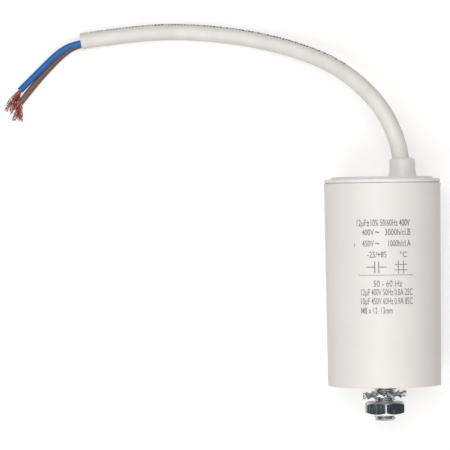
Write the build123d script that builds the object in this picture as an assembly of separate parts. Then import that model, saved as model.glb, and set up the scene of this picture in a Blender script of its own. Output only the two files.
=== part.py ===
from build123d import *
import math
import os

# Motor run capacitor: a round plastic case with a mounting stud in its base, a press-in lid
# with a cable collar, a two-core cable, and a wound film element cast in resin inside.
# Millimetres. The case lies on its side: its axis runs along Y, the cable leaves towards +Y,
# the stud points towards -Y, and the floor is z = 0.
# Each piece of the case is built upright on the base plane first. A "level" is a height there.

# Case
case_height = 69.0
case_top_radius = 20.0
case_base_radius = 19.3
case_wall = 1.6
case_floor = 2.6
base_edge_radius = 1.0
base_recess_margin = 1.5
base_recess_depth = 0.5

# Lid with its cable collar
flange_thickness = 1.5
flange_edge_radius = 0.8
plateau_inset = 2.6
plateau_rise = 0.65
plateau_edge = 0.3
spigot_depth = 2.5
spigot_wall = 1.6
spigot_clearance = 0.05
collar_offset = 7.0
collar_wall = 1.55
collar_foot_flare = 0.45
collar_foot_height = 2.4
collar_height = 6.55
collar_chamfer_height = 0.9
collar_chamfer_width = 1.15

# Mounting stud, and the boss in the case that holds its head
thread_radius = 4.0
thread_mesh_depth = 0.4
stud_length = 12.0
stud_chamfer = 0.9
head_overhang = 2.5
head_thickness = 2.2
head_depth = 1.6
boss_wall = 3.0
boss_cover = 1.8

# Nut
nut_across_flats = 13.0
nut_height = 4.5
nut_distance = 5.6
nut_bore_clearance = 0.02
nut_countersink = 0.2
nut_face_share = 0.95
nut_chamfer_angle = 30.0

# Toothed lock washer
washer_distance = 3.3
washer_play = 0.2
washer_ring_width = 1.5
washer_tooth_reach = 1.8
washer_thickness = 0.8
washer_teeth = 14
washer_twist = 38.0
washer_tooth_width = 2.3
washer_tilt = 2.8
washer_touch_gap = 0.01

# Wound element
disc_thickness = 1.0
disc_clearance = 0.4
bottom_lead_space = 3.2
top_lead_space = 6.45
resin_side = 0.8
wrap_thickness = 0.4
spray_thickness = 0.5
tube_wall = 1.3
tube_play = 1.6

# Leads inside the case, their solder and the resin
lead_bend_radius = 1.9
lead_bend_share = 0.9
lead_gap = 0.3
lead_drop = 2.65
blue_lead_inset = 7.6
brown_lead_inset = 4.2
brown_lead_lift = 0.5
solder_radius = 2.2
solder_overlap = 0.6
solder_cover = 0.15
resin_gap = 0.1
resin_clearance = 0.02

# Cable
cable_radius = 2.85
cable_clearance = 0.05
cable_embedded = 12.45
core_radius = 1.1
core_clearance = 0.03
strand_root_half_width = 0.7
strand_root_half_height = 0.6
strand_tip_half_width = 2.0
strand_tip_half_height = 0.7
strand_tip_lift = 0.1

# The share of its shorter run that each bend of a route takes up
bend_share = 0.45

# Levels of the case and lid
lid_level = case_height + flange_thickness + plateau_rise
collar_level = lid_level + collar_height
spigot_level = case_height - spigot_depth
resin_level = spigot_level - resin_gap
boss_level = head_depth + head_thickness + boss_cover
disc_level = boss_level + disc_thickness
cable_inner_level = collar_level - cable_embedded

# The case's inside is tapered like its outside, either way
case_slope = (case_top_radius - case_base_radius) / case_height


def inner_radius(level):
    """The radius of the case's inside at a level."""
    return case_base_radius + case_slope * level - case_wall


def narrowest(low, high):
    """The smaller radius of the case's inside between two levels."""
    return min(inner_radius(low), inner_radius(high))


# Radii of what fits in or on another piece
spigot_radius = narrowest(spigot_level, case_height) - spigot_clearance
disc_radius = narrowest(case_floor, disc_level) - disc_clearance
collar_radius = cable_radius + collar_wall
head_radius = thread_radius + head_overhang
thread_mesh_radius = thread_radius - thread_mesh_depth
washer_bore_radius = thread_radius + washer_play
washer_ring_radius = washer_bore_radius + washer_ring_width
washer_radius = washer_ring_radius + washer_tooth_reach

# The roll, with a sprayed metal layer at each end
tube_bore_radius = core_radius + tube_play
tube_radius = tube_bore_radius + tube_wall
roll_low = disc_level + bottom_lead_space
roll_top = cable_inner_level - top_lead_space
wrap_radius = narrowest(roll_low, roll_top) - resin_side
winding_radius = wrap_radius - wrap_thickness
blue_lead_reach = winding_radius - blue_lead_inset
brown_lead_reach = winding_radius - brown_lead_inset
winding_low = roll_low + spray_thickness
winding_top = roll_top - spray_thickness

# Place of the lying case
axis_height = max(case_top_radius, case_base_radius)
base_y = stud_length - (stud_length + collar_level) / 2
exit_y = base_y + collar_level

# Routes in the lying frame, from points beside the real cable. The cable's first two points
# are on the collar's axis, and it comes down to the floor in the next four.
cable_route = [
    (collar_offset, exit_y - cable_embedded, axis_height),
    (collar_offset, exit_y - 1.65, axis_height),
    (collar_offset - 2.4, exit_y + 8.85, axis_height - 0.1),
    (collar_offset - 8.2, exit_y + 19.75, axis_height - 2.2),
    (collar_offset - 18.8, exit_y + 30.05, axis_height - 7.2),
    (collar_offset - 30.6, exit_y + 36.55, axis_height - 12.4),
    (collar_offset - 49.3, exit_y + 42.35, cable_radius),
    (collar_offset - 71.6, exit_y + 45.25, cable_radius),
    (collar_offset - 91.0, exit_y + 44.95, cable_radius),
    (collar_offset - 110.2, exit_y + 42.25, cable_radius),
]
cable_end_x = cable_route[-1][0]
cable_end_y = cable_route[-1][1]
blue_route = [
    (cable_end_x + 3.5, cable_end_y - 0.1, cable_radius + core_radius),
    (cable_end_x - 2.1, cable_end_y - 0.9, cable_radius + core_radius),
    (cable_end_x - 7.4, cable_end_y - 3.3, core_radius + 2.3),
    (cable_end_x - 14.5, cable_end_y - 10.0, core_radius + 1.4),
    (cable_end_x - 21.5, cable_end_y - 16.7, core_radius),
]
brown_route = [
    (cable_end_x + 4.0, cable_end_y - 0.4, core_radius + 0.6),
    (cable_end_x - 1.4, cable_end_y - 1.15, core_radius + 0.6),
    (cable_end_x - 6.5, cable_end_y - 4.4, core_radius + 0.2),
    (cable_end_x - 12.0, cable_end_y - 9.9, core_radius),
    (cable_end_x - 17.1, cable_end_y - 15.6, core_radius),
    (cable_end_x - 21.5, cable_end_y - 21.1, core_radius),
]
blue_strand_reach = (-5.0, -5.6)
brown_strand_reach = (-1.1, -5.0)


def lay_down(shape):
    """Turn a shape built upright on its base plane into the lying frame."""
    return Pos(0, base_y, axis_height) * Rot(-90, 0, 0) * shape


def upright(shape):
    """Turn a shape of the lying frame back into the upright one."""
    return Rot(90, 0, 0) * Pos(0, -base_y, -axis_height) * shape


def disc(radius, low, high, x=0.0):
    """An upright cylinder between two levels."""
    return Pos(x, 0, (low + high) / 2) * Cylinder(radius, high - low)


def ring(inner, outer, low, high):
    """An upright tube between two levels."""
    return disc(outer, low, high) - disc(inner, low, high)


def turned(profile):
    """A solid of revolution about the upright axis from (radius, level) points."""
    return revolve(Plane.XZ * make_face(Polyline(*profile, close=True)), Axis.Z)


def lowest_edge(shape):
    return shape.edges().filter_by(GeomType.CIRCLE).sort_by(Axis.Z)[0]


def highest_edge(shape):
    return shape.edges().filter_by(GeomType.CIRCLE).sort_by(Axis.Z)[-1]


def bend_radii(route):
    """One radius for each inner point of a route, as large as its two runs allow."""
    radii = []
    for before, corner, after in zip(route, route[1:], route[2:]):
        run_in = Vector(corner) - Vector(before)
        run_out = Vector(after) - Vector(corner)
        half_turn = math.radians(run_in.get_angle(run_out)) / 2
        shorter = min(run_in.length, run_out.length)
        radii.append(bend_share * shorter / math.tan(half_turn))
    return radii


def route_path(route):
    """Straight runs joined by tangent arcs."""
    return FilletPolyline(*route, radius=bend_radii(route))


def tube(path, radius):
    """A round solid of one radius that follows a path."""
    section = Plane(origin=path @ 0, z_dir=path % 0) * Circle(radius)
    return sweep(section, path=path)


def case_outside():
    profile = [(0, 0), (case_base_radius, 0), (case_top_radius, case_height), (0, case_height)]
    body = turned(profile)
    return fillet(lowest_edge(body), base_edge_radius)


def cavity(level):
    """The space inside the case, from its floor up to a level."""
    low_radius = inner_radius(case_floor)
    space = turned([(0, case_floor), (low_radius, case_floor), (inner_radius(level), level), (0, level)])
    return space - disc(head_radius + boss_wall, case_floor, boss_level)


def make_stud():
    shank = disc(thread_radius, -stud_length, head_depth)
    shank = chamfer(lowest_edge(shank), stud_chamfer)
    nut_low = -nut_distance - nut_height
    nut_zone = ring(thread_mesh_radius, 2 * thread_radius, nut_low, -nut_distance)
    return shank - nut_zone + disc(head_radius, head_depth, head_depth + head_thickness)


def make_case(stud):
    recess = disc(washer_radius + base_recess_margin, 0, base_recess_depth)
    return case_outside() - cavity(case_height) - recess - stud


def make_lid(cable_bore):
    flange = disc(case_top_radius, case_height, case_height + flange_thickness)
    flange = fillet(highest_edge(flange), flange_edge_radius)
    plateau = disc(case_top_radius - plateau_inset, case_height, lid_level)
    plateau = chamfer(highest_edge(plateau), plateau_edge)
    spigot = ring(spigot_radius - spigot_wall, spigot_radius, spigot_level, case_height)
    collar = turned(
        [
            (0, case_height),
            (collar_radius + collar_foot_flare, case_height),
            (collar_radius + collar_foot_flare, lid_level),
            (collar_radius, lid_level + collar_foot_height),
            (collar_radius, collar_level - collar_chamfer_height),
            (collar_radius - collar_chamfer_width, collar_level),
            (0, collar_level),
        ]
    )
    return flange + plateau + spigot + Pos(collar_offset, 0, 0) * collar - cable_bore


def make_nut():
    low = -nut_distance - nut_height
    top = -nut_distance
    corner_radius = nut_across_flats / math.sqrt(3)
    face_radius = nut_face_share * nut_across_flats / 2
    slope = (corner_radius - face_radius) * math.tan(math.radians(nut_chamfer_angle))
    prism = extrude(Plane.XY.offset(low) * RegularPolygon(corner_radius, 6, rotation=30), nut_height)
    envelope = turned(
        [
            (0, low),
            (face_radius, low),
            (corner_radius, low + slope),
            (corner_radius, top - slope),
            (face_radius, top),
            (0, top),
        ]
    )
    bore_radius = thread_mesh_radius + nut_bore_clearance
    mouth_radius = thread_radius + nut_countersink
    mouth_depth = mouth_radius - bore_radius
    bore = turned(
        [
            (0, low),
            (mouth_radius, low),
            (bore_radius, low + mouth_depth),
            (bore_radius, top - mouth_depth),
            (mouth_radius, top),
            (0, top),
        ]
    )
    return (prism & envelope) - bore


def make_lock_washer():
    """A ring with outer teeth, each twisted about its own radius, hanging on the stud."""
    body = disc(washer_ring_radius, -washer_thickness / 2, washer_thickness / 2)
    tooth_start = (washer_bore_radius + washer_ring_radius) / 2
    tooth_length = washer_radius + washer_thickness - tooth_start
    blank = Box(tooth_length, washer_tooth_width, washer_thickness)
    tooth = Pos(tooth_start + tooth_length / 2, 0, 0) * Rot(washer_twist, 0, 0) * blank
    for number in range(washer_teeth):
        body += Rot(0, 0, 360 * number / washer_teeth) * tooth
    body &= ring(washer_bore_radius, washer_radius, -washer_tooth_width, washer_tooth_width)
    hang = washer_play - washer_touch_gap
    return Pos(0, hang, -washer_distance) * Rot(0, -washer_tilt, 0) * body


def blue_lead_path():
    """From the cable through the roll's tube to the lower metal layer."""
    start_x = collar_offset - core_radius
    low_level = roll_low - lead_gap - core_radius
    points = [
        (start_x, 0, cable_inner_level),
        (start_x, 0, cable_inner_level - lead_drop),
        (0, 0, roll_top + lead_gap + core_radius),
        (0, 0, low_level),
        (-blue_lead_reach, 0, low_level),
    ]
    return FilletPolyline(*points, radius=min(lead_bend_radius, lead_bend_share * blue_lead_reach))


def brown_lead_path():
    """From the cable outwards along the upper metal layer."""
    start_x = collar_offset + core_radius
    level = roll_top + brown_lead_lift + core_radius
    points = [(start_x, 0, cable_inner_level), (start_x, 0, level), (brown_lead_reach, 0, level)]
    last_run = brown_lead_reach - start_x
    return FilletPolyline(*points, radius=min(lead_bend_radius, lead_bend_share * last_run))


def solder_blocks(spare):
    """The two joints between a lead and a metal layer, with some spare radius and height."""
    blue_x = solder_overlap - blue_lead_reach
    brown_x = brown_lead_reach - solder_overlap
    bottom = disc(solder_radius + spare, disc_level + solder_cover - spare, roll_low, blue_x)
    top_level = roll_top + brown_lead_lift + 2 * core_radius + solder_cover
    top = disc(solder_radius + spare, roll_top, top_level + spare, brown_x)
    return bottom, top


def make_resin(cable):
    """All the room in the case round the roll, the leads, the solder and the cable's end."""
    bottom_block, top_block = solder_blocks(resin_clearance)
    resin = cavity(resin_level)
    resin -= disc(wrap_radius, roll_low, roll_top)
    resin -= disc(disc_radius, boss_level, disc_level)
    resin -= tube(blue_lead_path(), core_radius + resin_clearance)
    resin -= tube(brown_lead_path(), core_radius + resin_clearance)
    resin -= bottom_block
    resin -= top_block
    return resin - upright(cable)


def make_strands(route, reach):
    """The outer shape of the bare strands splayed on the floor at a core's end."""
    up = Vector(0, 0, 1)
    root = Vector(route[-1])
    core_end = root - Vector(route[-2])
    along = Vector(reach[0], reach[1], 0)
    tip = Vector(root.X + reach[0], root.Y + reach[1], strand_tip_half_height + strand_tip_lift)
    root_plane = Plane(origin=root, x_dir=core_end.cross(up), z_dir=core_end)
    tip_plane = Plane(origin=tip, x_dir=along.cross(up), z_dir=along)
    root_section = root_plane * Ellipse(strand_root_half_width, strand_root_half_height)
    tip_section = tip_plane * Ellipse(strand_tip_half_width, strand_tip_half_height)
    return loft([root_section, tip_section])


def case_pieces(cable_path):
    """The pieces that are built upright, by name."""
    stud = make_stud()
    lead_blue = tube(blue_lead_path(), core_radius)
    lead_brown = tube(brown_lead_path(), core_radius)
    solder_bottom, solder_top = solder_blocks(0)
    bore = tube(cable_path, cable_radius + cable_clearance)
    return {
        "case": make_case(stud),
        "lid": make_lid(upright(bore)),
        "stud": stud,
        "nut": make_nut(),
        "lock_washer": make_lock_washer(),
        "bottom_disc": disc(disc_radius, boss_level, disc_level),
        "winding_core": ring(tube_bore_radius, tube_radius, roll_low, roll_top),
        "winding": ring(tube_radius, winding_radius, winding_low, winding_top),
        "outer_wrap": ring(winding_radius, wrap_radius, roll_low, roll_top),
        "end_layer_bottom": ring(tube_radius, winding_radius, roll_low, winding_low),
        "end_layer_top": ring(tube_radius, winding_radius, winding_top, roll_top),
        "lead_blue": lead_blue,
        "lead_brown": lead_brown,
        "solder_bottom": solder_bottom - lead_blue,
        "solder_top": solder_top - lead_brown,
        "resin_fill": make_resin(tube(cable_path, cable_radius)),
    }


def cord_pieces(cable_path):
    """The cable, its two cores and their bare strands, by name."""
    blue_path = route_path(blue_route)
    brown_path = route_path(brown_route)
    sheath = tube(cable_path, cable_radius)
    sheath -= tube(blue_path, core_radius + core_clearance)
    sheath -= tube(brown_path, core_radius + core_clearance)
    return {
        "cable_sheath": sheath,
        "core_blue": tube(blue_path, core_radius),
        "core_brown": tube(brown_path, core_radius),
        "strands_blue": make_strands(blue_route, blue_strand_reach),
        "strands_brown": make_strands(brown_route, brown_strand_reach),
    }


def print_route(name, route, radius):
    """Radii of a cord's bends, and its volume as a share of its section times its length."""
    path = route_path(route)
    radii = ", ".join(f"{value:.1f}" for value in bend_radii(route))
    share = tube(path, radius).volume / (math.pi * radius**2 * path.length)
    print(f"{name}: length {path.length:.1f}, radii {radii}, volume share {share:.4f}")


def build():
    """Every piece by name, in the lying frame."""
    cable_path = route_path(cable_route)
    pieces = {name: lay_down(shape) for name, shape in case_pieces(cable_path).items()}
    pieces.update(cord_pieces(cable_path))
    return pieces


print_route("cable_sheath", cable_route, cable_radius)
print_route("core_blue", blue_route, core_radius)
print_route("core_brown", brown_route, core_radius)
os.makedirs("parts", exist_ok=True)
for node, shape in build().items():
    export_step(shape, f"parts/{node}.step")
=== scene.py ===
import bmesh
import bpy
import math
import random
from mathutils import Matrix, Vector
from mathutils.kdtree import KDTree


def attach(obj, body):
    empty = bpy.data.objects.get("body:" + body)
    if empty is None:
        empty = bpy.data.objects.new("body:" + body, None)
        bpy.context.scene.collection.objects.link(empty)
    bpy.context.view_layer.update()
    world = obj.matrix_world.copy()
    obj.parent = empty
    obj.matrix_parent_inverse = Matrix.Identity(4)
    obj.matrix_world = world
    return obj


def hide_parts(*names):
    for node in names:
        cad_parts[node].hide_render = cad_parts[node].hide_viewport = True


# Motor run capacitor, dressed: case, lid, threaded stud with nut and toothed washer, cable with
# two cores and bare strands. The shapes are written in millimetres, which mm() turns into metres.
# The body's axis lies along Y at the height AXIS_Z. Cord sizes, finishes, floor and lamps are in
# metres.

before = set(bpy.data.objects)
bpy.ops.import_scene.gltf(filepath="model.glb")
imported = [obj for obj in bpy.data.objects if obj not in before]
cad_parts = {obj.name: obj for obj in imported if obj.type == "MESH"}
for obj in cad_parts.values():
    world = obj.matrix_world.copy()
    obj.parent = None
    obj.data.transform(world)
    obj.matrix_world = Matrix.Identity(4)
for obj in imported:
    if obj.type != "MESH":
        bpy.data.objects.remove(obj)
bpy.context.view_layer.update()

MERGE_DISTANCE = 0.002
SPIN_STEPS = 128

AXIS_Z = 20.0
BASE_Y = -32.85
CASE_HEIGHT = 69.0
SEAM_Y = BASE_Y + CASE_HEIGHT
CASE_BASE_RADIUS = 19.3
CASE_TOP_RADIUS = 20.0
RECESS_RADIUS = 9.0
POCKET_RADIUS = 6.55
BORE_RADIUS = 4.03
RIM_LOW, RIM_HIGH = 68.35, 68.84

LID_Y = SEAM_Y + 2.15
FLANGE_RADIUS = 19.8
FLANGE_LOW, FLANGE_HIGH = 69.34, 70.5
SPIGOT_RADIUS = 18.3
RISE_RADIUS = 17.4
COLLAR_X = 7.0
COLLAR_RADIUS = 4.4
COLLAR_Y = LID_Y + 6.55

PITCH = 1.25
THREAD_ROOT = 3.36
THREAD_CREST = 3.95
STUD_END = BASE_Y - 12
HEAD_LOW, HEAD_HIGH = BASE_Y + 1.62, BASE_Y + 3.8
HEAD_RADIUS = 6.5
NUT_LOW, NUT_HIGH = BASE_Y - 10.1, BASE_Y - 5.6
NUT_WIDTH = 13
WASHER_TEETH = 14
WASHER_TILT = math.radians(2.8)
TOOTH_TWIST = math.radians(42)
TOOTH_FLARE = 1.065

SHEATH_RADIUS = 2.85
SHEATH_WALL = 0.55
CORE_RADIUS = 1.1
CORE_WALL = 0.45
STRAND_RADIUS = 0.095
STRAND_COUNT = 42
STRAND_STEPS = 7
LOWEST_STRAND = 0.12
GOLDEN_ANGLE = 2.39996

CABLE_ROUTE = [
    (7.0, 32.4, 20.0), (7.0, 43.2, 20.0), (4.6, 53.7, 19.9), (-1.2, 64.6, 17.8),
    (-11.8, 74.9, 12.8), (-23.6, 81.4, 7.6), (-42.3, 87.2, 2.85), (-64.6, 90.1, 2.85),
    (-84.0, 89.8, 2.85), (-103.2, 87.1, 2.85),
]
BLUE_ROUTE = [
    (-99.7, 87.0, 3.95), (-105.3, 86.2, 3.95), (-110.6, 83.8, 3.4), (-117.7, 77.1, 2.5),
    (-124.7, 70.4, 1.1),
]
BROWN_ROUTE = [
    (-99.2, 86.7, 1.7), (-104.6, 85.95, 1.7), (-109.7, 82.7, 1.3), (-115.2, 77.2, 1.1),
    (-120.3, 71.5, 1.1), (-124.7, 66.0, 1.1),
]


def mm(*values):
    """Millimetres as metres: a number, or a point."""
    scaled = [value / 1000 for value in values]
    return scaled[0] if len(scaled) == 1 else Vector(scaled)


# Modelling


def only(piece):
    """Makes a piece the active and only selected object."""
    bpy.ops.object.select_all(action="DESELECT")
    piece.select_set(True)
    bpy.context.view_layer.objects.active = piece


def edit(piece):
    """Opens a piece in edit mode, with all of it selected."""
    only(piece)
    bpy.ops.object.mode_set(mode="EDIT")
    bpy.ops.mesh.select_mode(type="VERT")
    bpy.ops.mesh.select_all(action="SELECT")


def begin(name):
    """Takes the primitive just added as a new piece, with its place in its mesh, and opens it."""
    piece = bpy.context.object
    piece.name = name
    piece.data.name = name
    bpy.ops.object.transform_apply(location=True, rotation=True, scale=True)
    edit(piece)
    return piece


def close(piece, angle=30):
    """Merges what lies together, turns faces outwards and leaves the piece smooth but for its edges."""
    edit(piece)
    bpy.ops.mesh.remove_doubles(threshold=mm(MERGE_DISTANCE))
    bpy.ops.mesh.normals_make_consistent(inside=False)
    bpy.ops.object.mode_set(mode="OBJECT")
    bpy.ops.object.shade_smooth_by_angle(angle=math.radians(angle))
    return piece


def pick(kind, test):
    """Selects the faces, edges or vertices of the open piece that a test accepts."""
    bpy.ops.mesh.select_mode(type=kind)
    bpy.ops.mesh.select_all(action="DESELECT")
    data = bpy.context.object.data
    mesh = bmesh.from_edit_mesh(data)
    for part in {"FACE": mesh.faces, "EDGE": mesh.edges, "VERT": mesh.verts}[kind]:
        if test(part):
            part.select_set(True)
    mesh.select_flush_mode()
    bmesh.update_edit_mesh(data)


def modify(piece, kind, **settings):
    """Gives a piece a modifier and applies it."""
    only(piece)
    modifier = piece.modifiers.new(kind.title(), kind)
    for key, value in settings.items():
        setattr(modifier, key, value)
    bpy.ops.object.modifier_apply(modifier=modifier.name)


def combine(piece, tool, operation):
    """Joins a tool's shape to a piece, cuts it out, or keeps what they share. The tool goes."""
    modify(piece, "BOOLEAN", operation=operation, object=tool, solver="EXACT")
    bpy.data.objects.remove(tool)
    return piece


def draw(name, points, start):
    """A new piece, left open: a line of (x, y) points that runs from a place, drawn by extruding
    one vertex."""
    bpy.ops.object.select_all(action="DESELECT")
    bpy.ops.mesh.primitive_plane_add(size=mm(1), location=start)
    piece = begin(name)
    bpy.ops.mesh.merge(type="CENTER")
    for (x, y), (next_x, next_y) in zip(points, points[1:]):
        step = mm(next_x - x, next_y - y, 0)
        bpy.ops.mesh.extrude_vertices_move(TRANSFORM_OT_translate={"value": step})
    return piece


def turned(name, profile, x=0.0, steps=SPIN_STEPS):
    """A piece turned about a line along Y at the axis's height. A profile of (radius, y) points
    that starts and ends on the line makes a closed solid."""
    radius, y = profile[0]
    piece = draw(name, profile, mm(x + radius, y, AXIS_Z))
    bpy.ops.mesh.select_all(action="SELECT")
    bpy.ops.mesh.spin(steps=steps, angle=2 * math.pi, center=mm(x, 0, AXIS_Z), axis=(0, 1, 0))
    bpy.ops.object.mode_set(mode="OBJECT")
    return close(piece)


def round_edge(piece, radius, y, size, segments, x=0.0):
    """Rounds a turned piece's circular edge at a radius and height."""
    near = mm(0.02)

    def on_circle(edge):
        for vertex in edge.verts:
            offset = Vector((vertex.co.x - mm(x), vertex.co.z - mm(AXIS_Z)))
            if abs(vertex.co.y - mm(y)) > near or abs(offset.length - mm(radius)) > near:
                return False
        return True

    edit(piece)
    pick("EDGE", on_circle)
    bpy.ops.mesh.bevel(offset=mm(size), segments=segments, profile=0.5, affect="EDGES")
    bpy.ops.object.mode_set(mode="OBJECT")


def case_radius(y):
    """The case's tapered outside at a height, in millimetres."""
    return CASE_BASE_RADIUS + (CASE_TOP_RADIUS - CASE_BASE_RADIUS) * (y - BASE_Y) / CASE_HEIGHT


def make_case():
    """The case with its stud bore, head pocket, boss, recess and open top."""
    profile = [
        # the pocket of the stud's head, its bore and the recess in the base
        (0, 3.85), (POCKET_RADIUS, 3.85), (POCKET_RADIUS, 1.55), (BORE_RADIUS, 1.55),
        (BORE_RADIUS, 0.5), (RECESS_RADIUS, 0.5), (RECESS_RADIUS, 0),
        # the tapered outside and the rim
        (CASE_BASE_RADIUS, 0), (19.84, 67.95), (CASE_TOP_RADIUS, RIM_LOW),
        (CASE_TOP_RADIUS, RIM_HIGH), (19.7, CASE_HEIGHT),
        # the inside, down to the boss over the head
        (18.4, CASE_HEIGHT), (17.73, 2.6), (9.5, 2.6), (9.5, 5.6), (0, 5.6),
    ]
    case = turned("case_body", [(radius, BASE_Y + level) for radius, level in profile])
    round_edge(case, CASE_BASE_RADIUS, BASE_Y, 0.32, 4)
    round_edge(case, RECESS_RADIUS, BASE_Y, 0.15, 2)
    round_edge(case, CASE_TOP_RADIUS, BASE_Y + RIM_HIGH, 0.1, 3)
    round_edge(case, CASE_TOP_RADIUS, BASE_Y + RIM_LOW, 0.12, 3)
    return close(case)


def make_lid(bore):
    """The pressed-in lid: spigot, flange, raised middle and the collar the cable comes out of."""
    profile = [
        # the underside and the spigot in the case's mouth
        (0, 69.0), (16.7, 69.0), (16.7, 66.5), (SPIGOT_RADIUS, 66.5), (SPIGOT_RADIUS, 69.02),
        # the groove over the case's rim, the flange and the raised middle
        (19.25, 69.02), (19.5, 69.22), (FLANGE_RADIUS, FLANGE_LOW), (FLANGE_RADIUS, FLANGE_HIGH),
        (RISE_RADIUS, FLANGE_HIGH), (RISE_RADIUS, 71.15), (0, 71.15),
    ]
    lid = turned("lid_cap", [(radius, BASE_Y + level) for radius, level in profile])
    round_edge(lid, FLANGE_RADIUS, BASE_Y + FLANGE_LOW, 0.1, 3)
    round_edge(lid, FLANGE_RADIUS, BASE_Y + FLANGE_HIGH, 0.8, 8)
    round_edge(lid, RISE_RADIUS, LID_Y, 0.3, 4)
    collar_profile = [
        (0, LID_Y - 0.9), (4.85, LID_Y - 0.9), (4.85, LID_Y), (COLLAR_RADIUS, LID_Y + 2.4),
        (COLLAR_RADIUS, COLLAR_Y - 0.9), (3.25, COLLAR_Y), (0, COLLAR_Y),
    ]
    collar = turned("collar", collar_profile, x=COLLAR_X, steps=72)
    round_edge(collar, COLLAR_RADIUS, COLLAR_Y - 0.9, 0.35, 3, COLLAR_X)
    round_edge(collar, COLLAR_RADIUS, LID_Y + 2.4, 0.8, 3, COLLAR_X)
    combine(lid, collar, "UNION")
    combine(lid, bore, "DIFFERENCE")
    return close(lid)


# Cable, cores and strands


def route(name, points, radius, sides=14, steps=16):
    """A cord on one smooth curve, as a mesh tube. Returns it and the points that it follows."""
    data = bpy.data.curves.new(name, "CURVE")
    data.dimensions = "3D"
    spline = data.splines.new("NURBS")
    spline.points.add(len(points) - 1)
    for control, point in zip(spline.points, points):
        control.co = (*mm(*point), 1)
    spline.order_u = 3
    spline.use_endpoint_u = True
    spline.resolution_u = steps
    piece = bpy.data.objects.new(name, data)
    bpy.context.scene.collection.objects.link(piece)
    line = [vertex.co.copy() for vertex in bpy.data.meshes.new_from_object(piece).vertices]
    data.bevel_depth = mm(radius)
    data.bevel_resolution = sides
    data.use_fill_caps = True
    only(piece)
    bpy.ops.object.convert(target="MESH")
    piece.data.name = name
    return piece, line


def mark_length(piece, line):
    """Stores on each point of a tube how far along its line it is, how far out to the line's right
    it lies, and how far above the line, all in metres."""
    travelled = [0.0]
    for before, after in zip(line, line[1:]):
        travelled.append(travelled[-1] + (after - before).length)
    places = KDTree(len(line))
    for number, point in enumerate(line):
        places.insert(point, number)
    places.balance()
    names = ("along", "side", "level")
    for name in names:
        piece.data.attributes.new(name, "FLOAT", "POINT")
    along, side, level = [piece.data.attributes[name].data for name in names]
    for index, vertex in enumerate(piece.data.vertices):
        number = places.find(vertex.co)[1]
        heading = line[min(number + 1, len(line) - 1)] - line[max(number - 1, 0)]
        offset = vertex.co - line[number]
        along[index].value = travelled[number]
        side[index].value = offset.dot(Vector((heading.y, -heading.x, 0)).normalized())
        level[index].value = offset.z


def open_end(piece, line, radius, wall, depth, rim):
    """Hollows the far end of a tube to a wall's thickness, rounds its outer rim and marks its
    length."""
    end = line[-1]
    outwards = (line[-1] - line[-2]).normalized()
    near = mm(0.12)

    def is_cap(face):
        return all(abs((vertex.co - end).dot(outwards)) < near
                   and (vertex.co - end).length < mm(radius + 0.2) for vertex in face.verts)

    edit(piece)
    pick("FACE", is_cap)
    bpy.ops.mesh.dissolve_faces()
    bpy.ops.mesh.inset(thickness=mm(wall))
    inwards = -outwards * mm(depth)
    bpy.ops.mesh.extrude_region_move(TRANSFORM_OT_translate={"value": inwards})

    def on_rim(edge):
        middle = (edge.verts[0].co + edge.verts[1].co) / 2
        offset = middle - end
        if abs(offset.dot(outwards)) > near or offset.length < mm(radius - wall / 2):
            return False
        return len(edge.link_faces) == 2 and edge.calc_face_angle() > 1.0

    pick("EDGE", on_rim)
    bpy.ops.mesh.bevel(offset=mm(rim), segments=4, profile=0.5, affect="EDGES")
    bpy.ops.object.mode_set(mode="OBJECT")
    close(piece, 40)
    mark_length(piece, line)


def strands(name, root, direction, reach, left, right, seed):
    """Fine bare wires that come out of a core's end together, splay on the floor and curl. They
    reach so far, fan out so far to the picture's left and right, and tarnish towards its left."""
    chance = random.Random(seed)
    along = Vector(direction).normalized()
    across = Vector((-along.y, along.x, 0))
    up = Vector((0, 0, 1))
    wires = []
    for number in range(STRAND_COUNT):
        angle = GOLDEN_ANGLE * number
        share = math.sqrt((number + 0.5) / STRAND_COUNT)
        side, lift = share * math.cos(angle), share * math.sin(angle)
        length = reach * chance.uniform(0.66, 1.0)
        fan = side * (right if side > 0 else left) * chance.uniform(0.75, 1.1)
        start = Vector(root) + across * side * 0.5 + up * lift * 0.5
        height = LOWEST_STRAND + (lift + 1) * 0.6
        wave = chance.uniform(0.12, 0.42)
        turn = chance.uniform(0, 2 * math.pi)
        points = [start - along * 1.2, start + along * 0.2]
        for bend in range(1, STRAND_STEPS + 1):
            step = bend / STRAND_STEPS
            place = start + along * (0.2 + (length - 0.2) * step)
            swing = wave * step * math.sin(turn + 2.1 * bend) + chance.uniform(-0.1, 0.1)
            place += across * (fan * step ** 0.75 + swing)
            place.z = start.z + (height - start.z) * step + wave * math.cos(turn + 2.1 * bend)
            place.z = max(place.z, LOWEST_STRAND)
            points.append(place)
        wire, line = route(f"{name}_{number}", points, STRAND_RADIUS, 1, 4)
        mark_length(wire, line)
        shade = wire.data.attributes.new("shade", "FLOAT", "POINT")
        tone = chance.random()
        for value in shade.data:
            value.value = tone
        tarnish = wire.data.attributes.new("tarnish", "FLOAT", "POINT")
        reach_of_tarnish = max(0.15, -side) * chance.uniform(0.6, 1.0)
        for value, travelled in zip(tarnish.data, wire.data.attributes["along"].data):
            value.value = reach_of_tarnish * travelled.value / mm(reach)
        wires.append(wire)
    only(wires[0])
    for wire in wires:
        wire.select_set(True)
    bpy.ops.object.join()
    wires[0].name = name
    wires[0].data.name = name
    return close(wires[0], 60)


# Thread, stud, nut and washer


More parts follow.
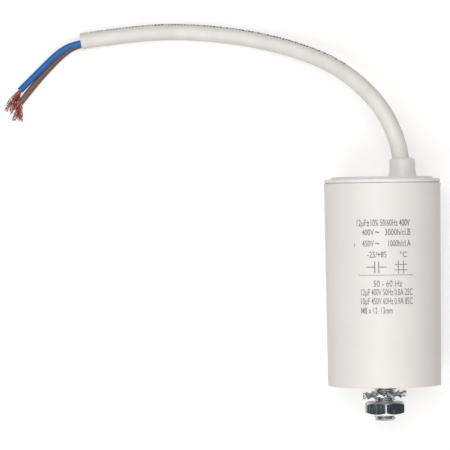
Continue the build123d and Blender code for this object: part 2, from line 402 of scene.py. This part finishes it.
def thread(name, grow, low, high):
    """A threaded rod about the case's axis between two heights, with its radius grown a little."""
    profile = [(THREAD_ROOT, 0), (THREAD_ROOT, 0.17), (THREAD_CREST, 0.53), (THREAD_CREST, 0.70),
               (THREAD_ROOT, 1.06), (THREAD_ROOT, PITCH)]
    rod = draw(name, profile, mm(THREAD_ROOT + grow, STUD_END - 3 * PITCH, 0))
    bpy.ops.object.mode_set(mode="OBJECT")
    modify(rod, "SCREW", axis="Y", angle=2 * math.pi, screw_offset=mm(PITCH), iterations=18, steps=48,
           render_steps=48, use_merge_vertices=True, merge_threshold=mm(MERGE_DISTANCE))
    edit(rod)
    bpy.ops.mesh.remove_doubles(threshold=mm(MERGE_DISTANCE))
    bpy.ops.mesh.normals_make_consistent(inside=False)
    bpy.ops.transform.translate(value=mm(0, 0, AXIS_Z))
    for y, upwards in ((low, -1), (high, 1)):
        bpy.ops.mesh.select_all(action="SELECT")
        bpy.ops.mesh.bisect(plane_co=mm(0, y, 0), plane_no=(0, upwards, 0), use_fill=True,
                            clear_outer=True)
    bpy.ops.object.mode_set(mode="OBJECT")
    return close(rod)


def make_stud():
    """The threaded stud with its chamfered end, and the head that is moulded into the base."""
    stud = thread("mounting_stud", 0, STUD_END, BASE_Y + 2.2)
    outside = [(HEAD_RADIUS, HEAD_LOW), (HEAD_RADIUS, HEAD_HIGH), (0, HEAD_HIGH)]
    envelope = turned("envelope", [(0, STUD_END), (3.1, STUD_END), (4.0, STUD_END + 0.9),
                                   (4.0, HEAD_LOW), *outside])
    head = turned("head", [(0, HEAD_LOW), *outside])
    combine(stud, head, "UNION")
    combine(stud, envelope, "INTERSECT")
    return close(stud)


def make_nut():
    """A hexagon nut, chamfered on both sides, with a countersunk threaded bore."""
    low, high = NUT_LOW, NUT_HIGH
    corner, end_radius = NUT_WIDTH / math.sqrt(3), 6.0
    drop = (corner - end_radius) * math.tan(math.radians(33))
    bpy.ops.object.select_all(action="DESELECT")
    bpy.ops.mesh.primitive_cylinder_add(vertices=6, radius=mm(corner), depth=mm(high - low),
                                        location=mm(0, (low + high) / 2, AXIS_Z),
                                        rotation=(math.radians(90), 0, 0))
    nut = begin("hex_nut")

    def upright(edge):
        run = edge.verts[0].co - edge.verts[1].co
        return abs(run.x) < mm(0.01) and abs(run.z) < mm(0.01)

    pick("EDGE", upright)
    bpy.ops.mesh.bevel(offset=mm(0.28), segments=3, profile=0.5, affect="EDGES")
    bpy.ops.object.mode_set(mode="OBJECT")
    envelope = turned("envelope", [(0, low), (end_radius, low), (corner, low + drop),
                                   (corner, high - drop), (end_radius, high), (0, high)])
    combine(nut, envelope, "INTERSECT")
    combine(nut, thread("tap", 0.06, low - 2, high + 2), "DIFFERENCE")
    for y, inner in ((low, 1), (high, -1)):
        sink = [(0, y - inner * 0.5), (4.7, y - inner * 0.5), (3.2, y + inner), (0, y + inner)]
        combine(nut, turned("countersink", sink), "DIFFERENCE")
    close(nut)
    mark_wear_and_highlight(nut)
    return nut


def mark_wear_and_highlight(nut):
    """Stores how bright each face of the nut is made, partly by wear and partly as painted highlight:
    the six sides not at all, the upright edges, the ends and the thread's flats in part, the
    chamfers and the thread's flanks wholly."""
    wear_and_highlight = nut.data.attributes.new("wear_and_highlight", "FLOAT", "FACE")
    sides = hexagon_sides()
    parallel = 0.9995
    for face, mark in zip(nut.data.polygons, wear_and_highlight.data):
        if max(abs(face.normal.dot(side)) for side in sides) >= parallel:
            continue
        tilt = abs(face.normal.y)
        # Each brightness below is partly wear and partly painted highlight.
        mark.value = 0.62 if tilt < 0.01 else 0.75 if tilt > parallel else 1.0


def hexagon_sides():
    """The outward directions of a nut's sides, with a corner straight up."""
    angles = [math.radians(30 + 60 * number) for number in range(6)]
    return [Vector((math.sin(angle), 0, math.cos(angle))) for angle in angles]


def make_washer():
    """A toothed lock washer: one sector of its ring with a twisted tooth, copied round."""
    inner, middle, outer, tip = 4.2, 4.95, 5.7, 7.45
    sector = 2 * math.pi / WASHER_TEETH
    washer = draw("toothed_washer", [(inner, 0), (middle, 0), (outer, 0)], mm(inner, 0, 0))
    bpy.ops.mesh.select_all(action="SELECT")
    bpy.ops.mesh.spin(steps=11, angle=sector, center=(0, 0, 0), axis=(0, 1, 0))
    bpy.ops.object.mode_set(mode="OBJECT")
    angles = [math.atan2(vertex.co.z, vertex.co.x) for vertex in washer.data.vertices]
    middle_angle = (max(angles) + min(angles)) / 2
    for vertex, angle in zip(washer.data.vertices, angles):
        angle -= middle_angle
        radius = math.hypot(vertex.co.x, vertex.co.z)
        vertex.co = (radius * math.cos(angle), 0, radius * math.sin(angle))
    edit(washer)

    def tooth_root(edge):
        return all(abs(math.hypot(v.co.x, v.co.z) - mm(outer)) < mm(0.01)
                   and abs(math.atan2(v.co.z, v.co.x)) < 0.42 * sector for v in edge.verts)

    pick("EDGE", tooth_root)
    steps = 5
    for _ in range(steps):
        out = mm((tip - outer) / steps, 0, 0)
        bpy.ops.mesh.extrude_region_move(TRANSFORM_OT_translate={"value": out})
        bpy.ops.transform.resize(value=(1, TOOTH_FLARE, TOOTH_FLARE), center_override=(0, 0, 0))
        bpy.ops.transform.rotate(value=TOOTH_TWIST / steps, orient_axis="X",
                                 center_override=(0, 0, 0))
    bpy.ops.mesh.select_all(action="SELECT")
    for _ in range(WASHER_TEETH - 1):
        bpy.ops.mesh.duplicate()
        bpy.ops.transform.rotate(value=sector, orient_axis="Y", center_override=(0, 0, 0))
    bpy.ops.object.mode_set(mode="OBJECT")
    close(washer)
    modify(washer, "SOLIDIFY", thickness=mm(0.8), offset=0.0, use_even_offset=True)
    modify(washer, "BEVEL", width=mm(0.09), segments=2, limit_method="ANGLE",
           angle_limit=math.radians(50))
    edit(washer)
    bpy.ops.transform.rotate(value=-WASHER_TILT, orient_axis="Z", center_override=(0, 0, 0))
    bpy.ops.transform.translate(value=mm(0, BASE_Y - 3.3, AXIS_Z - 0.19))
    bpy.ops.object.mode_set(mode="OBJECT")
    return close(washer, 35)


# Print on the case

# Each block: its text, the x of its left and right, the y of its middle, and its height.
PRINT_BLOCKS = [
    ("12µF±10% 50/60Hz 400V", -9.66, 8.09, 22.4, 2.75),
    ("400V", -7.99, -4.1, 19.51, 2.0), ("~", -3.7, -2.3, 19.51, 0.6),
    ("3000h/cl.B", -0.38, 8.26, 19.51, 2.1),
    ("450V", -7.99, -4.1, 15.73, 2.0), ("~", -3.7, -2.3, 15.73, 0.6),
    ("1000h/cl.A", 0.72, 8.26, 15.73, 2.1),
    ("-25/+85", -6.32, 0.05, 12.0, 2.0), ("°C", 4.64, 6.91, 12.0, 2.0),
    ("50 - 60 Hz", -4.41, 5.24, 2.26, 2.1),
    ("12µF 400V 50Hz 0.8A 25C", -8.53, 8.76, -0.85, 2.7),
    ("10µF 450V 60Hz 0.9A 85C", -8.53, 8.76, -3.85, 2.7),
    ("M8 x 12  13mm", -8.53, 1.89, -6.75, 2.1),
]
# Each bar: the x and y of one corner, then of the opposite one.
PRINT_BARS = [
    (-9.16, 5.03, 8.93, 5.17), (-6.6, 7.65, -4.1, 7.95), (-4.1, 5.9, -3.75, 9.7),
    (-2.75, 5.9, -2.4, 9.7), (-2.4, 7.65, 0.05, 7.95), (2.75, 6.7, 7.05, 6.95),
    (2.75, 8.5, 7.05, 8.75), (3.9, 5.6, 4.15, 9.9), (5.6, 5.6, 5.85, 9.9),
    (-10.55, 14.6, -10.35, 15.7),
]
PRINT_LIFT = 0.012
PRINT_THICKNESS = 0.02


def make_print():
    """Generic ratings, a rule and symbols, printed on top of the case."""
    marks = []
    for text, left, right, middle, height in PRINT_BLOCKS:
        bpy.ops.object.select_all(action="DESELECT")
        bpy.ops.object.text_add()
        words = bpy.context.object
        words.data.body = text
        words.data.resolution_u = 4
        words.data.offset = 0.002
        bpy.ops.object.convert(target="MESH")
        low = Vector(map(min, *(v.co for v in words.data.vertices)))
        high = Vector(map(max, *(v.co for v in words.data.vertices)))
        for vertex in words.data.vertices:
            x = (vertex.co.x - low.x) / (high.x - low.x)
            y = (vertex.co.y - low.y) / (high.y - low.y)
            vertex.co = mm(left + x * (right - left), middle + (y - 0.5) * height, 0)
        marks.append(words)
    for left, low, right, high in PRINT_BARS:
        bpy.ops.object.select_all(action="DESELECT")
        bpy.ops.mesh.primitive_grid_add(x_subdivisions=24, y_subdivisions=2, size=1)
        bar = bpy.context.object
        bar.scale = mm(right - left, high - low, 1000)
        bar.location = mm((left + right) / 2, (low + high) / 2, 0)
        bpy.ops.object.transform_apply(location=True, rotation=True, scale=True)
        marks.append(bar)
    only(marks[0])
    for mark in marks:
        mark.select_set(True)
    bpy.ops.object.join()
    sheet = marks[0]
    sheet.name = "case_print"
    sheet.data.name = "case_print"
    for vertex in sheet.data.vertices:
        x, y = vertex.co.x * 1000, vertex.co.y * 1000
        radius = case_radius(y) + PRINT_LIFT
        vertex.co.z = mm(AXIS_Z + math.sqrt(radius ** 2 - x ** 2))
    modify(sheet, "SOLIDIFY", thickness=mm(PRINT_THICKNESS), offset=1.0)
    edit(sheet)
    bpy.ops.mesh.remove_doubles(threshold=mm(0.001))
    bpy.ops.object.mode_set(mode="OBJECT")
    return sheet


# Materials


class Value:
    """A socket's output, for shader maths written as Python expressions."""

    def __init__(self, finish, socket):
        self.finish = finish
        self.socket = socket

    def maths(self, operation, first, second):
        return self.finish.node("ShaderNodeMath", {"operation": operation}, {0: first, 1: second})

    def __add__(self, other):
        return self.maths("ADD", self, other)

    def __rsub__(self, other):
        return self.maths("SUBTRACT", other, self)

    def __mul__(self, other):
        return self.maths("MULTIPLY", self, other)

    def __gt__(self, other):
        return self.maths("GREATER_THAN", self, other)

    __radd__ = __add__
    __rmul__ = __mul__


class Nodes:
    """A node tree that is written as expressions."""

    def __init__(self, tree):
        self.tree = tree

    def node(self, kind, settings, inputs, output=0):
        """Any node: its settings first, then the values or links of its sockets."""
        node = self.tree.nodes.new(kind)
        for key, value in settings.items():
            if key == "stops":
                for number, (position, color) in enumerate(value):
                    stops = node.color_ramp.elements
                    stop = stops[number] if number < 2 else stops.new(position)
                    stop.position = position
                    stop.color = (*color, 1)
            else:
                setattr(node, key, value)
        for key, value in inputs.items():
            if isinstance(value, Value):
                self.tree.links.new(value.socket, node.inputs[key])
            else:
                node.inputs[key].default_value = value
        return Value(self, node.outputs[output])

    def blend(self, factor, first, second):
        """A colour between two."""
        first, second = [(*c, 1) if isinstance(c, tuple) else c for c in (first, second)]
        return self.node("ShaderNodeMix", {"data_type": "RGBA"}, {0: factor, 6: first, 7: second}, 2)

    def ramp(self, factor, *stops):
        """A colour from a row of stops, each a place and its colour."""
        return self.node("ShaderNodeValToRGB", {"stops": stops}, {0: factor})

    def fit(self, value, low, high, to_low=0.0, to_high=1.0):
        """A value's range moved to another one, held at its ends."""
        return self.node("ShaderNodeMapRange", {}, {0: value, 1: low, 2: high, 3: to_low, 4: to_high})


class Finish(Nodes):
    """A material with one Principled shader, whose constants are set on its own sockets."""

    def __init__(self, name, color, roughness, **constants):
        self.material = bpy.data.materials.new(name)
        self.material.use_nodes = True
        super().__init__(self.material.node_tree)
        self.shader = self.tree.nodes["Principled BSDF"]
        self.shader.inputs["Base Color"].default_value = (*color, 1)
        self.shader.inputs["Roughness"].default_value = roughness
        for key, value in constants.items():
            self.shader.inputs[key.replace("_", " ")].default_value = value
        self.place = self.node("ShaderNodeTexCoord", {}, {}, "Object")

    def noise(self, scale, detail=2.0, roughness=0.5, stretch=(1, 1, 1)):
        """Noise over the piece, with a scale in spots per metre."""
        place = self.node("ShaderNodeMapping", {}, {"Vector": self.place, "Scale": stretch})
        return self.node("ShaderNodeTexNoise", {}, {"Vector": place, "Scale": scale,
                                                    "Detail": detail, "Roughness": roughness})

    def stored(self, name):
        """A number stored on the piece's points or faces."""
        return self.node("ShaderNodeAttribute", {"attribute_name": name}, {}, "Fac")

    def feed(self, socket, value):
        """Links a varying value to one of the shader's sockets."""
        self.tree.links.new(value.socket, self.shader.inputs[socket])

    def bump(self, height, strength, distance):
        """Relief from a height, in metres."""
        self.feed("Normal", self.node("ShaderNodeBump", {}, {
            "Height": height, "Strength": strength, "Distance": distance}))


def plastic(name, color, roughness, grain=0.5):
    """Moulded white plastic: a faint grain, a slow change of tone and a few soft scuffs."""
    finish = Finish(name, color, roughness, Specular_IOR_Level=0.4)
    tone = finish.noise(45, 3)
    dark = tuple(0.965 * channel for channel in color)
    finish.feed("Base Color", finish.blend(finish.fit(tone, 0.35, 0.65), dark, color))
    scuffs = finish.fit(finish.noise(300, 4, 0.65, (1, 0.25, 1)), 0.55, 0.75)
    finish.feed("Roughness", scuffs * 0.12 + (roughness - 0.04) + tone * 0.06)
    finish.bump(finish.noise(1800, 3) + 0.3 * finish.noise(260, 2), grain, mm(0.03))
    return finish.material


# Where along the cable the dashes of painted shade run, and how closely they follow one another.
EDGE_SHADE_START, EDGE_SHADE_END = 0.05, 0.141
EDGE_SHADE_DASHES_PER_METRE = 900


def rubbery(name, color, dark, roughness, marks=False):
    """Cable plastic: soft tone changes and small dimples, and on request a row of small dark dashes
    along its right side, a little above its middle, which darken that edge as painted shade. They
    are weaker near the cable's end."""
    finish = Finish(name, color, roughness, Specular_IOR_Level=0.4)
    tone = finish.noise(120, 4, 0.6)
    streak = finish.noise(500, 3)
    base = finish.blend(finish.fit(tone + 0.2 * streak, 0.4, 0.75), dark, color)
    # The dashes darken the cable's edge on that side: painted shade.
    if marks:
        along = finish.stored("along")
        level = finish.stored("level")
        shade_band = (finish.stored("side") > 0.0) * (level > mm(0.15)) * (mm(1.75) - level > 0.0)
        shade_band = shade_band * (along > EDGE_SHADE_START) * (EDGE_SHADE_END - along > 0.0)
        beat = along * EDGE_SHADE_DASHES_PER_METRE
        shade_dashes = finish.node("ShaderNodeMath", {"operation": "FRACT"}, {0: beat}) > 0.4
        # The dashes of painted shade, broken up by noise.
        printed = shade_band * shade_dashes * finish.fit(finish.noise(1100, 1), 0.4, 0.47)
        strength = finish.fit(along, 0.122, 0.13, 1.0, 0.5)
        base = finish.blend(strength * printed, base, (0.08, 0.08, 0.08))
    finish.feed("Base Color", base)
    finish.feed("Roughness", roughness - 0.05 + 0.12 * tone)
    finish.bump(finish.noise(1300, 3, 0.6), 0.35, mm(0.05))
    return finish.material


def plated(name, color, roughness, dirt, threaded=False):
    """Zinc-plated steel: cloudy plating, fine scratches and dull patches, and on request the roots of
    the thread about the case's axis made darker."""
    finish = Finish(name, color, roughness, Metallic=1.0)
    cloud = finish.noise(420, 5, 0.6)
    scratch = finish.noise(2500, 3, 0.7, (0.12, 1, 1))
    shade = finish.fit(cloud + 0.35 * scratch, 0.45, 0.95)
    base = finish.blend(shade, dirt, color)
    if threaded:
        across = finish.node("ShaderNodeMapping", {}, {
            "Vector": finish.place, "Location": mm(0, 0, -AXIS_Z), "Scale": (1, 0, 1)})
        radius = finish.node("ShaderNodeVectorMath", {"operation": "LENGTH"}, {0: across}, "Value")
        root = finish.fit(radius, mm(THREAD_ROOT + 0.1), mm(THREAD_CREST - 0.12), 1.0, 0.0)
        root = root * (radius > mm(THREAD_ROOT - 0.2))
        base = finish.blend(0.5 * root, base, (0.1, 0.105, 0.11))
    finish.feed("Base Color", base)
    finish.feed("Roughness", roughness - 0.06 + 0.22 * scratch)
    finish.bump(scratch + cloud, 0.35, mm(0.02))
    return finish.material


def plated_nut(name):
    """Zinc with scratched sides coloured dark as a painted reflection of dark surroundings, and bright
    along its edges and chamfers, partly from wear and partly as painted highlight.
    """
    finish = Finish(name, (0.16, 0.19, 0.21), 0.34, Metallic=1.0)
    scratch = finish.noise(1500, 4, 0.7, (1.0, 0.18, 0.4))
    cloud = finish.noise(350, 3)
    # The sides' dark colours are a painted reflection of dark surroundings.
    side = finish.blend(finish.fit(scratch, 0.5, 0.72), (0.085, 0.105, 0.12), (0.3, 0.34, 0.36))
    # The bright colour along edges, ends and chamfers is partly wear and partly painted highlight.
    wear_and_highlight = finish.stored("wear_and_highlight") * finish.fit(cloud + 0.4 * scratch, 0.35, 0.6, 0.75, 1.0)
    finish.feed("Base Color", finish.blend(wear_and_highlight, side, (0.93, 0.95, 0.95)))
    finish.feed("Roughness", 0.34 + 0.2 * scratch)
    finish.bump(scratch, 0.3, mm(0.02))
    return finish.material


def copper(name):
    """Bare copper wire: from bright to dark red strand by strand, grey where it is tarnished."""
    finish = Finish(name, (0.8, 0.45, 0.33), 0.32, Metallic=1.0)
    shade = finish.stored("shade")
    dull = finish.noise(900, 3)
    wire = finish.ramp(
        finish.fit(shade + 0.5 * dull, 0.35, 1.3),
        (0.0, (0.16, 0.035, 0.025)), (0.55, (0.48, 0.14, 0.105)), (1.0, (0.92, 0.57, 0.49)))
    grey = finish.ramp(
        finish.fit(finish.noise(2200, 3, 0.6), 0.38, 0.62),
        (0.0, (0.03, 0.025, 0.02)), (0.55, (0.2, 0.17, 0.14)), (1.0, (0.9, 0.85, 0.74)))
    tarnish = finish.fit(finish.stored("tarnish"), 0.2, 0.42)
    finish.feed("Base Color", finish.blend(tarnish, wire, grey))
    finish.feed("Roughness", 0.25 + 0.2 * dull)
    return finish.material


def ink(name):
    """Worn grey print."""
    finish = Finish(name, (0.3, 0.3, 0.3), 0.6)
    wear_and_highlight = finish.fit(finish.noise(1500, 3, 0.7), 0.4, 0.7)
    finish.feed("Base Color", finish.blend(wear_and_highlight, (0.17, 0.17, 0.175), (0.46, 0.45, 0.45)))
    return finish.material


def hidden(name, color, roughness, spots, other, **constants):
    """A finish for a piece inside the sealed case: two tones in spots, with a little relief."""
    finish = Finish(name, color, roughness, **constants)
    tone = finish.noise(spots, 4, 0.6)
    finish.feed("Base Color", finish.blend(finish.fit(tone, 0.35, 0.65), other, color))
    finish.feed("Roughness", roughness - 0.08 + 0.16 * tone)
    finish.bump(tone, 0.3, mm(0.05))
    return finish.material


def dress(piece, material, slot, *nodes):
    """Gives a new piece its finish, lets it ride, and has it stand for its CAD nodes."""
    piece.data.materials.clear()
    piece.data.materials.append(material)
    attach(piece, "root")
    if nodes:
        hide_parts(*nodes)
    return piece


# The object

sheath, sheath_line = route("cable", CABLE_ROUTE, SHEATH_RADIUS)
bore = route("bore", CABLE_ROUTE, SHEATH_RADIUS + 0.06)[0]
blue, blue_line = route("blue_wire", BLUE_ROUTE, CORE_RADIUS, 8)
brown, brown_line = route("brown_wire", BROWN_ROUTE, CORE_RADIUS, 8)
open_end(sheath, sheath_line, SHEATH_RADIUS, SHEATH_WALL, depth=4.4, rim=0.42)
open_end(blue, blue_line, CORE_RADIUS, CORE_WALL, depth=1.5, rim=0.12)
open_end(brown, brown_line, CORE_RADIUS, CORE_WALL, depth=1.5, rim=0.12)
blue_strands = strands("blue_strands", BLUE_ROUTE[-1], (-3.1, -6.2, 0),
                       reach=9.0, left=2.5, right=1.2, seed=3)
brown_strands = strands("brown_strands", BROWN_ROUTE[-1], (-0.7, -5.2, 0),
                        reach=6.5, left=2.7, right=1.3, seed=8)

case = make_case()
lid = make_lid(bore)
stud = make_stud()
nut = make_nut()
washer = make_washer()
case_print = make_print()

case_white = plastic("case_white", (0.85, 0.835, 0.812), 0.42)
# The lid's white is the case's white made lighter: painted light for the collar, which the lamps reach
# less.
lid_white_with_painted_light = plastic("lid_white_with_painted_light", (0.89, 0.88, 0.86), 0.36, 0.35)
# The last argument adds the dashes of painted shade along the cable's edge.
cable_white = rubbery("cable_white", (0.8, 0.79, 0.738), (0.725, 0.715, 0.662), 0.45, True)
blue_pvc = rubbery("blue_pvc", (0.012, 0.15, 0.5), (0.007, 0.105, 0.39), 0.42)
brown_pvc = rubbery("brown_pvc", (0.205, 0.1, 0.1), (0.14, 0.09, 0.065), 0.45)
stud_zinc = plated("stud_zinc", (0.9, 0.92, 0.93), 0.12, (0.5, 0.52, 0.53), True)
nut_zinc = plated_nut("nut_zinc")
washer_zinc = plated("washer_zinc", (0.93, 0.97, 0.96), 0.13, (0.33, 0.38, 0.37))
copper_wire = copper("copper_wire")
grey_ink = ink("grey_ink")

dress(case, case_white, "case_plastic", "case")
dress(case_print, grey_ink, "case_plastic")
dress(lid, lid_white_with_painted_light, "lid_plastic", "lid")
dress(stud, stud_zinc, "stud_steel", "stud")
dress(nut, nut_zinc, "nut_steel", "nut")
dress(washer, washer_zinc, "washer_steel", "lock_washer")
dress(sheath, cable_white, "cable_pvc", "cable_sheath")
dress(blue, blue_pvc, "blue_insulation", "core_blue")
dress(brown, brown_pvc, "brown_insulation", "core_brown")
dress(blue_strands, copper_wire, "copper", "strands_blue")
dress(brown_strands, copper_wire, "copper", "strands_brown")

mm(7.0, 44.85, 20.0)
mm(-103.1, 86.5, 3.95)
mm(-103.6, 86.1, 1.7)

# The CAD nodes inside the sealed case keep their shape and get a finish each.
inner_finishes = {
    "winding": hidden("metallised_roll", (0.75, 0.76, 0.78), 0.25, 160, (0.6, 0.61, 0.64),
                      Metallic=0.9),
    "outer_wrap": hidden("clear_wrap", (0.8, 0.78, 0.68), 0.25, 90, (0.7, 0.67, 0.55)),
    "end_layer_bottom": hidden("sprayed_zinc", (0.42, 0.43, 0.44), 0.7, 900, (0.3, 0.31, 0.32),
                               Metallic=0.6),
    "lead_blue": blue_pvc,
    "lead_brown": brown_pvc,
    "solder_bottom": hidden("solder_tin", (0.7, 0.7, 0.7), 0.3, 500, (0.5, 0.5, 0.51),
                            Metallic=1.0),
    "winding_core": hidden("core_tube", (0.55, 0.54, 0.5), 0.4, 200, (0.47, 0.46, 0.42)),
    "bottom_disc": hidden("board", (0.42, 0.33, 0.2), 0.6, 300, (0.34, 0.26, 0.15)),
    "resin_fill": hidden("resin", (0.5, 0.42, 0.2), 0.2, 70, (0.42, 0.34, 0.15)),
}
inner_finishes["end_layer_top"] = inner_finishes["end_layer_bottom"]
inner_finishes["solder_top"] = inner_finishes["solder_bottom"]
for node, material in inner_finishes.items():
    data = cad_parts[node].data
    data.materials.clear()
    data.materials.append(material)

# Floor, light and camera

FLOOR_SIZE = 30
GLOW_NEAR, GLOW_FAR = 0.25, 1.5
FOCAL_LENGTH_PX = 2808
PICTURE_WIDTH_PX = 450

# The floor gives light back like pale paper. The camera and reflections see it as white, with the
# shadows near the object kept.
bpy.ops.object.select_all(action="DESELECT")
bpy.ops.mesh.primitive_plane_add(size=FLOOR_SIZE)
floor = bpy.context.object
floor.name = "floor"
paper = Finish("paper", (0.8, 0.8, 0.8), 0.9, Specular_IOR_Level=0.0)
seen = paper.node("ShaderNodeLightPath", {}, {}, "Is Camera Ray")
seen = seen + paper.node("ShaderNodeLightPath", {}, {}, "Is Glossy Ray")
seen = seen + paper.node("ShaderNodeLightPath", {}, {}, "Is Transmission Ray")
seen = paper.fit(seen, 0, 1)
paper.feed("Base Color", paper.blend(seen, (0.66, 0.65, 0.65), (0.58, 0.58, 0.58)))
distance = paper.node("ShaderNodeVectorMath", {"operation": "LENGTH"}, {0: paper.place}, "Value")
glow = paper.fit(distance, GLOW_NEAR, GLOW_FAR, 0.52, 1.0) * seen
paper.feed("Emission Color", paper.blend(glow, (0, 0, 0), (1, 1, 1)))
paper.shader.inputs["Emission Strength"].default_value = 1.0
floor.data.materials.append(paper.material)


def softbox(name, place, power, size, color):
    """A soft square lamp aimed at the object."""
    lamp = bpy.data.lights.new(name, "AREA")
    lamp.energy = power
    lamp.size = size
    lamp.color = color
    box = bpy.data.objects.new(name, lamp)
    bpy.context.scene.collection.objects.link(box)
    box.location = place
    aim = Vector((-0.02, 0.02, 0.02)) - box.location
    box.rotation_euler = aim.to_track_quat("-Z", "Y").to_euler()
    box.visible_camera = False


softbox("key_light", (-0.26, -0.56, 1.08), 5.5, 0.7, (0.98, 1.0, 0.98))
softbox("top_light", (-0.2, 0.38, 1.2), 5.1, 0.6, (0.98, 1.0, 0.98))

world = bpy.data.worlds.new("studio")
bpy.context.scene.world = world
world.use_nodes = True
sky = Nodes(world.node_tree)
direction = sky.node("ShaderNodeTexCoord", {}, {}, "Generated")
height = sky.node("ShaderNodeSeparateXYZ", {}, {0: direction}, "Z")
horizon_to_top = sky.blend(sky.fit(height, 0.3, 0.85), (0.1, 0.094, 0.094), (0.64, 0.61, 0.61))
background = sky.node("ShaderNodeLightPath", {}, {}, "Is Camera Ray")
world.node_tree.links.new(sky.blend(background, horizon_to_top, (1, 1, 1)).socket,
                          world.node_tree.nodes["Background"].inputs["Color"])

camera = bpy.data.objects.new("camera", bpy.data.cameras.new("camera"))
bpy.context.scene.collection.objects.link(camera)
camera.location = mm(-53.885, 22.58, 980)
camera.rotation_euler = (0, 0, math.radians(-0.737))
camera.data.sensor_width = 36
camera.data.lens = FOCAL_LENGTH_PX / PICTURE_WIDTH_PX * camera.data.sensor_width
camera.data.clip_end = 20
bpy.context.scene.camera = camera
bpy.context.scene.view_settings.view_transform = "Standard"
